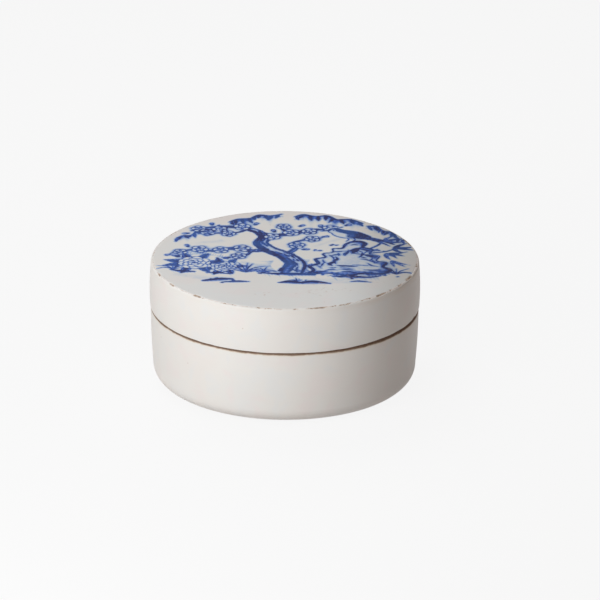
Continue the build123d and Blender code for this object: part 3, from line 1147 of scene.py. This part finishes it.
class CoverShape:
    """Radii and heights of the cover, worked out from its sizes, and its profile."""

    inner_round = 0.3 * MM  # turn at the inside of the rim

    def __init__(self, sizes):
        self.sizes = sizes
        self.rim = rim_radius(sizes)
        self.inner = self.rim - sizes.cover_wall
        self.ceiling = TOP_Z - sizes.cover_top
        self.shoulder_z = TOP_Z - sizes.shoulder
        self.flat = self.wall(self.shoulder_z) - sizes.shoulder

    def wall(self, z):
        """Radius of the wall at a height."""
        up = (z - SEAT_Z) / (TOP_Z - SEAT_Z)
        rise = 4 * self.sizes.cover_swell + self.sizes.cover_draw
        return self.rim + rise * up - (rise + self.sizes.cover_draw) * up * up

    def profile(self):
        """Over the shoulder, down the wall, round the rim and up inside towards the axis."""
        s = self.sizes
        rim_z, small, turn = SEAT_Z + s.rim_round, self.inner_round, s.ceiling_turn
        line = bend(self.flat, self.shoulder_z, s.shoulder, 90, 0, 9)[1:]
        line += [(self.wall(z), z) for z in np.linspace(self.shoulder_z, rim_z, 9)[1:-1]]
        line += bend(self.rim - s.rim_round, rim_z, s.rim_round, 0, -90, 4)
        line += [((self.rim + self.inner) / 2, SEAT_Z)]
        line += bend(self.inner + small, SEAT_Z + small, small, 270, 180, 2)
        line += bend(self.inner - turn, self.ceiling - turn, turn, 0, 90, 4)
        line += [(self.inner * 0.5, self.ceiling)]
        return line


def cover_marks(points, shape):
    """What the glaze carries on the cover's points, each from 0 to 1."""
    height, radius = points[:, 2], radii(points)
    on_top = height > TOP_Z - HAIR
    right = dark_seam_side(points)
    back = points[:, 1] / shape.flat
    worn, rubbed = frits(points, shape)
    lip = SEAT_Z + (0.20 + 0.12 * grain(points, 4 * MM, 4.0) + 0.10 * right) * MM
    bare = ease(height, lip + 0.1 * MM, lip - 0.1 * MM)
    bare[(radius < shape.inner + 0.5 * MM) & (height < SEAT_Z + 2 * MM)] = 1.0
    near_edge = np.exp(-(((height - (TOP_Z - 0.85 * MM)) / (0.75 * MM)) ** 2))
    near_edge = near_edge * (radius > shape.flat - 0.3 * MM)
    return {
        "bare": bare,
        # Partly handling stain, partly painted shade: the rim's outer edge by the seam is darkest
        "seam_stain_and_shade": 0.1 + 0.75 * ease(radius, shape.rim - 1.2 * MM, shape.rim - 0.3 * MM),
        "worn": worn,
        "thin": near_edge * (0.14 + 0.4 * right) * (0.7 + 0.5 * grain(points, 8 * MM, 9.0)),
        "blush": on_top * ease(back, 0.25, 0.95) * ease(radius, 32 * MM, 41 * MM) * 0.8,
        "pool": on_top * ease(-back, 0.15, 0.8) * 0.35,
        # Painted shade: the top greys towards its right, where the key lamp's light falls off
        "painted_right_shade": on_top * ease(points[:, 0], 14 * MM, 44 * MM) * 0.8,
        "scuff": np.maximum(rubbed, on_top * scuffs(points)),
    }


def cover_relief(points, shape, marks):
    """Lets the top and the wall wander, crumbles the upper edge and roughens the bare rim."""
    height, radius = points[:, 2].copy(), radii(points)
    wander = grain(points, 14 * MM)
    points[:, 2] += (height > TOP_Z - HAIR) * 0.035 * MM * wander
    sway = (radius > shape.flat) * ease(height, SEAT_Z, SEAT_Z + 4 * MM)
    shift_out(points, sway * 0.04 * MM * wander)
    crumble = marks["worn"] * (0.16 + 0.06 * grain(points, 0.6 * MM, 6.0)) * MM
    shift_out(points, -crumble * ease(radius, shape.flat - 0.5 * MM, shape.flat + 0.3 * MM))
    points[:, 2] -= crumble * 0.8 * (height > shape.shoulder_z)
    rough_clay(points, marks["bare"] * (radius > shape.inner))


class SEALBOX_OT_cover(bpy.types.Operator):
    """Turn, paint and glaze the cover, with its frits and bare rim"""

    bl_idname = "sealbox.cover"
    bl_label = "Cover"

    def execute(self, context):
        shape = CoverShape(settings(context, "porcelain"))
        top = disc(shape.flat, TOP_Z, TOP_CELLS)
        edge = 4 * TOP_CELLS
        body = Turned(shape.profile(), np.arctan2(top[-edge:, 1], top[-edge:, 0]))
        body.close(body.rings - 1, shape.ceiling)
        faces = disc_faces(TOP_CELLS)
        faces += [tuple(corner + len(top) for corner in face) for face in body.faces]
        faces += body.band(len(top) - edge, len(top))
        points = np.vstack((top, body.points))

        marks = cover_marks(points, shape)
        art = paint_garden(top[:, 0] / MM, top[:, 1] / MM)
        painted = (("ink", art.ink, -BLANK), ("depth", art.depth, 0), ("wash", art.wash, 0))
        for label, values, blank in painted:
            marks[label] = np.pad(values, (0, len(body.points)), constant_values=blank)
        cover_relief(points, shape, marks)
        glaze = porcelain("cover_glaze", settings(context, "glaze"), painted=True)
        make_piece(
            "porcelain_cover", points, faces, glaze,
            body="lid", slot="porcelain_cover", node="cover", **marks,
        )
        return {"FINISHED"}


def frits(points, shape):
    """How far the cover's upper edge is crumbled, and how far it is rubbed, from 0 to 1."""
    # Middle and half length in degrees round, and strength
    runs = (
        (-71, 1.8, 0.85), (-58, 2.4, 0.75), (-41, 2.2, 1.1), (-37, 1.2, 0.6), (-24, 4.0, 0.5),
        (-9, 4.0, 0.65), (-3, 2.0, 0.45), (5, 2.0, 0.35), (14, 5.5, 0.85), (21, 2.0, 0.5),
        (27, 3.0, 0.6), (38, 2.5, 0.45), (46, 2.8, 1.1), (53, 1.4, 0.65), (60, 1.8, 0.65),
        (69, 3.2, 1.15), (84, 2.0, 0.6), (112, 5.0, 0.7), (141, 3.0, 0.9), (163, 6.0, 0.5),
        (-176, 3.0, 0.8), (-148, 5.0, 0.6), (-121, 3.0, 0.9), (-96, 3.0, 0.6),
    )
    height, radius = points[:, 2], radii(points)
    degrees = degrees_round(points)
    likely = np.full(len(points), 0.16)
    for middle, half, strength in runs:
        apart = np.abs((degrees - middle + 180) % 360 - 180)
        likely = np.maximum(likely, strength * ease(apart, half * 1.3, half * 0.6))
    turn = np.degrees(np.arctan2(height - shape.shoulder_z, np.maximum(radius - shape.flat, 1e-9)))
    wander = 68 + 14 * grain(points, 1.6 * MM, 14.0)
    band = np.exp(-(((turn - wander) / (10 + 14 * likely)) ** 2))
    band = band * (radius > shape.flat - 0.2 * MM) * (height > shape.shoulder_z)
    chips = grain(points, 0.75 * MM, 12.0) * 0.9 + grain(points, 2.2 * MM, 13.0) * 0.5
    broken = grain(points, 1.1 * MM, 15.0) + 0.6 * likely
    line = ease(band, 0.35, 0.95) * ease(broken, -0.35, 0.75) * (0.8 + 0.2 * dark_seam_side(points))
    halo = ease(band, 0.0, 0.6) * ease(chips + likely, 0.3, 0.9)
    worn = (0.12 + 0.88 * ease(chips + likely * 1.1, 0.45, 1.05)) * ease(band, 0.15, 0.75)
    return worn, np.maximum(line, halo * 0.55)


def scuffs(points):
    """Faint rubbed spots that gather in a few places on the cover's top, from 0 to 1."""
    # Middle in millimetres, spread and count
    places = (
        (9, -28, 2.4, 26), (18, -26.5, 1.6, 8), (11, -22, 1.6, 9), (28, -20, 1.8, 8),
        (20, -16, 2.6, 9), (-6, -31, 4.0, 7), (37, -6, 1.8, 9),
    )
    rng = np.random.default_rng(SCUFF_SEED)
    x, y = points[:, 0] / MM, points[:, 1] / MM
    rubbed = np.zeros(len(points))
    for middle_x, middle_y, spread, count in places:
        for _ in range(count):
            off_x, off_y = rng.normal(0, spread), rng.normal(0, spread * 0.6)
            size, strength = rng.uniform(0.25, 0.6), rng.uniform(0.15, 0.5)
            turn = rng.uniform(0, math.pi)
            dx, dy = x - (middle_x + off_x), y - (middle_y + off_y)
            along = dx * math.cos(turn) + dy * math.sin(turn)
            across = dy * math.cos(turn) - dx * math.sin(turn)
            spot = ease(np.hypot(along * 0.5, across * 1.2), size, size * 0.2)
            rubbed = np.maximum(rubbed, strength * spot)
    return rubbed


def disc(radius, height, cells):
    """A round grid's points, of near-equal cells. The last four times `cells` are its rim."""
    share = np.linspace(-1, 1, cells + 1)
    u, v = (a.ravel() for a in np.meshgrid(share, share, indexing="ij"))
    wide = np.abs(u) > np.abs(v)
    reach = np.where(wide, u, v)
    with np.errstate(divide="ignore", invalid="ignore"):
        turn = np.where(wide, math.pi / 4 * v / u, math.pi / 2 - math.pi / 4 * u / v)
    turn = np.nan_to_num(turn)
    places = np.column_stack((reach * np.cos(turn), reach * np.sin(turn))) * radius
    return np.column_stack((places, np.full(len(places), height)))[disc_order(cells)]


def disc_order(cells):
    """The grid's points, inner ones first and then its rim in order round it."""
    number = np.arange((cells + 1) ** 2).reshape(cells + 1, cells + 1)
    sides = (number[-1, :-1], number[::-1, -1][:-1], number[0, ::-1][:-1], number[:-1, 0])
    return np.concatenate((number[1:-1, 1:-1].ravel(), *sides))


def disc_faces(cells):
    """The round grid's four-sided faces."""
    order = disc_order(cells)
    place = np.empty(len(order), dtype=int)
    place[order] = np.arange(len(order))
    place = place.reshape(cells + 1, cells + 1)
    corners = (place[:-1, :-1], place[1:, :-1], place[1:, 1:], place[:-1, 1:])
    return list(zip(*(c.ravel().tolist() for c in corners)))


def paste_profile(look):
    """From the axis out over the paste's underside, up its side and over its mound."""
    drop = 2 * MM  # from the mound's edge to the top of the straight side
    side_z = PASTE_Z - look.crown - drop
    floor = PASTE_RADIUS - look.turn
    line = [(0.4 * floor, BOWL_Z)]
    line += bend(floor, BOWL_Z + look.turn, look.turn, -90, 0, 8)
    line += run((PASTE_RADIUS, BOWL_Z + look.turn), (PASTE_RADIUS, side_z), 3)
    line += bend(PASTE_RADIUS - look.shoulder, side_z, look.shoulder, 0, 75, 8)
    radius, z = line[-1]
    for share in np.linspace(0.0, 0.985, 92)[1:]:
        line.append((radius * (1 - share), z + (PASTE_Z - z) * (1 - (1 - share) ** 2)))
    return line


def knead(points, look):
    """Raises folds that wind about the mound's middle, and lumps between them."""
    radius, height = radii(points), points[:, 2].copy()
    edge_z = PASTE_Z - look.crown
    wound = np.arctan2(points[:, 1], points[:, 0]) + radius / (16 * MM)
    spiral = np.column_stack((radius * np.cos(wound), radius * np.sin(wound) * 0.55, height))
    folds = 1 - np.abs(grain(spiral, 6.5 * MM, 2.0)) * 2.2
    lumps = grain(points, 3.0 * MM, 5.0) * 0.35 + grain(points, 1.2 * MM, 6.0) * 0.16
    on_top = ease(height, edge_z - 4 * MM, edge_z - 1 * MM)
    points[:, 2] += on_top * look.fold * (folds - 1.0 + lumps)
    near_edge = ease(radius, PASTE_RADIUS * 0.8, PASTE_RADIUS)
    shift_out(points, -on_top * near_edge * 0.25 * MM * (1 + lumps))


class SEALBOX_OT_paste(bpy.types.Operator):
    """Fill the bowl with kneaded paste"""

    bl_idname = "sealbox.paste"
    bl_label = "Paste"

    def execute(self, context):
        look = settings(context, "paste")
        body = Turned(paste_profile(look), np.linspace(0, math.tau, PASTE_SIDES, endpoint=False))
        body.close(0, BOWL_Z)
        body.close(body.rings - 1, PASTE_Z)
        knead(body.points, look)
        finish = vermilion("vermilion_paste", look)
        mound = make_piece(
            "paste_mound", body.points, body.faces, finish,
            body="box", slot="paste", node="seal_paste",
        )
        points, faces = lay_fibres(mound, look.fibres)
        make_piece("paste_fibres", points, faces, finish, body="box", slot="paste")
        return {"FINISHED"}


def lay_fibres(mound, count):
    """Short fibres that lie on the mound's surface, as points and faces."""
    rng = np.random.default_rng(FIBRE_SEED)
    sides, steps, thick, stride = 5, 7, 0.055 * MM, 0.45 * MM
    up, above, reach = Vector((0, 0, 1)), PASTE_Z + 5 * MM, PASTE_RADIUS * 0.9
    points, faces = [], []
    for _ in range(count):
        r, a = reach * math.sqrt(rng.uniform(0, 1)), rng.uniform(0, math.tau)
        x, y, heading = r * math.cos(a), r * math.sin(a), rng.uniform(0, math.tau)
        curl = rng.uniform(-0.5, 0.5)
        path = []
        for k in range(steps):
            hit, place, _normal, _face = mound.ray_cast(Vector((x, y, above)), -up)
            if hit:
                path.append(place + up * thick * (0.4 + 1.6 * math.sin(k / (steps - 1) * math.pi)))
            x, y = x + math.cos(heading) * stride, y + math.sin(heading) * stride
            heading += curl
        if len(path) < steps:
            continue
        first = len(points)
        for k, place in enumerate(path):
            ahead = path[min(k + 1, steps - 1)] - path[max(k - 1, 0)]
            side = ahead.cross(up).normalized()
            over = side.cross(ahead).normalized()
            wide = thick * (1.0 - 0.7 * abs(k / (steps - 1) - 0.5) * 2)
            for j in range(sides):
                turn = j / sides * math.tau
                points.append(place + side * math.cos(turn) * wide + over * math.sin(turn) * wide)
        for low in range(first, first + (steps - 1) * sides, sides):
            for j in range(sides):
                after = (j + 1) % sides
                faces.append((low + j, low + after, low + sides + after, low + sides + j))
        for end in (first, first + (steps - 1) * sides):
            faces.append(tuple(range(end, end + sides)))
    return np.array(points), faces


# Stage


class SEALBOX_OT_studio(bpy.types.Operator):
    """Set the floor, the soft light and the camera"""

    bl_idname = "sealbox.studio"
    bl_label = "Studio"

    def execute(self, context):
        look = settings(context, "studio")
        lay_floor(look)
        light_world(context.scene, look)
        hang_lamp("key_lamp", look.key, look.key_size, look.key_distance, KEY_ROUND, KEY_RISE)
        hang_lamp("back_lamp", look.back, look.back_size, look.back_distance, BACK_ROUND, BACK_RISE)
        aim_camera(context.scene, look)
        context.scene.view_settings.view_transform = "Standard"
        return {"FINISHED"}


def lay_floor(look):
    """A wide pale floor that keeps the box's shadow."""
    half = 6.0
    mesh = bpy.data.meshes.new("floor")
    corners = [(-half, -half, 0), (half, -half, 0), (half, half, 0), (-half, half, 0)]
    mesh.from_pydata(corners, [], [(0, 1, 2, 3)])
    floor = bpy.data.objects.new("floor", mesh)
    bpy.context.scene.collection.objects.link(floor)
    material = bpy.data.materials.new("pale_floor")
    material.use_nodes = True
    nodes = Nodes(material.node_tree)
    nodes.tree.nodes.remove(nodes.tree.nodes["Principled BSDF"])
    paths = nodes.add("LightPath").outputs
    seen = nodes.sums("MAXIMUM", paths["Is Camera Ray"], paths["Is Transmission Ray"])
    matte = nodes.add("BsdfDiffuse", Color=nodes.blend(seen, look.bounce, look.floor))
    lift = nodes.spread(seen, look.lift, nodes.times(paths["Is Glossy Ray"], look.gleam))
    lift = nodes.spread(paths["Is Diffuse Ray"], look.glow, lift)
    white = nodes.add("Emission", Strength=lift)
    both = nodes.add("AddShader", _0=matte.outputs[0], _1=white.outputs[0])
    nodes.feed(nodes.tree.nodes["Material Output"].inputs["Surface"], both.outputs[0])
    mesh.materials.append(material)


def light_world(scene, look):
    """Soft light all round, brightest at floor level and dim and warm at the right."""
    world = bpy.data.worlds.new("studio")
    world.use_nodes = True
    nodes = Nodes(world.node_tree)
    parts = nodes.add("SeparateXYZ", Vector=nodes.add("TexCoord").outputs["Generated"]).outputs
    sky = nodes.tree.nodes["Background"]
    level = nodes.step(parts["Z"], 0.06, 0.36, look.horizon, look.zenith)
    tint = nodes.blend(nodes.step(parts["X"], 0.05, 0.75), (1.0, 1.0, 1.0), look.shade)
    nodes.feed(sky.inputs["Strength"], level)
    nodes.feed(sky.inputs["Color"], tint)
    scene.world = world


def hang_lamp(name, power, size, distance, azimuth, elevation):
    """A large square lamp that looks at the box, by degrees right of the front and above level."""
    lamp = bpy.data.lights.new(name, "AREA")
    lamp.energy = power
    lamp.size = size
    thing = bpy.data.objects.new(name, lamp)
    bpy.context.scene.collection.objects.link(thing)
    a, e = math.radians(azimuth), math.radians(elevation)
    back = Vector((math.sin(a) * math.cos(e), -math.cos(a) * math.cos(e), math.sin(e)))
    centre = Vector((0, 0, SEAT_Z))
    thing.location = centre + back * distance
    thing.rotation_euler = (-back).to_track_quat("-Z", "Y").to_euler()


def aim_camera(scene, look):
    """A long lens from the front and above, turned by under half a degree."""
    rise, roll = math.radians(CAMERA_RISE), math.radians(CAMERA_ROLL)
    metres_per_pixel = PICTURE_SIDE / PICTURE_PIXELS
    back = Vector((0, -math.cos(rise), math.sin(rise)))
    level_up = Vector((0, math.sin(rise), math.cos(rise)))
    right = Vector((1, 0, 0)) * math.cos(roll) + level_up * math.sin(roll)
    up = level_up * math.cos(roll) - Vector((1, 0, 0)) * math.sin(roll)
    aside = (PICTURE_PIXELS / 2 - SEAM_PIXEL[0]) * metres_per_pixel
    above = (SEAM_PIXEL[1] - PICTURE_PIXELS / 2) * metres_per_pixel
    aim = Vector((0, 0, SEAT_Z)) + right * aside + up * above
    data = bpy.data.cameras.new("camera")
    data.lens = look.lens
    camera = bpy.data.objects.new("camera", data)
    scene.collection.objects.link(camera)
    turn = Matrix((right, up, back)).transposed().to_4x4()
    camera.matrix_world = Matrix.Translation(aim + back * look.distance) @ turn
    scene.camera = camera


# Add-on


class SEALBOX_PT_panel(bpy.types.Panel):
    """Lists the box's pieces and settings."""

    bl_idname = "SEALBOX_PT_panel"
    bl_label = "Seal Paste Box"
    bl_space_type = "VIEW_3D"
    bl_region_type = "UI"
    bl_category = "Seal Box"

    def draw(self, context):
        for operator in OPERATORS:
            self.layout.operator(operator.bl_idname)
        for group, kind in GROUPS.items():
            box = self.layout.box()
            box.label(text=group.title())
            for name in kind.__annotations__:
                box.prop(settings(context, group), name)


OPERATORS = (SEALBOX_OT_studio, SEALBOX_OT_base, SEALBOX_OT_cover, SEALBOX_OT_paste)
CLASSES = (*GROUPS.values(), *OPERATORS, SEALBOX_PT_panel)


def register():
    for kind in CLASSES:
        bpy.utils.register_class(kind)
    for group, kind in GROUPS.items():
        setattr(bpy.types.Scene, "seal_box_" + group, PointerProperty(type=kind))


def unregister():
    for group in GROUPS:
        delattr(bpy.types.Scene, "seal_box_" + group)
    for kind in reversed(CLASSES):
        bpy.utils.unregister_class(kind)


def main():
    """Makes the whole scene."""
    register()
    bpy.ops.sealbox.studio()
    bpy.ops.sealbox.base()
    bpy.ops.sealbox.cover()
    bpy.ops.sealbox.paste()


if __name__ == "__main__":
    main()
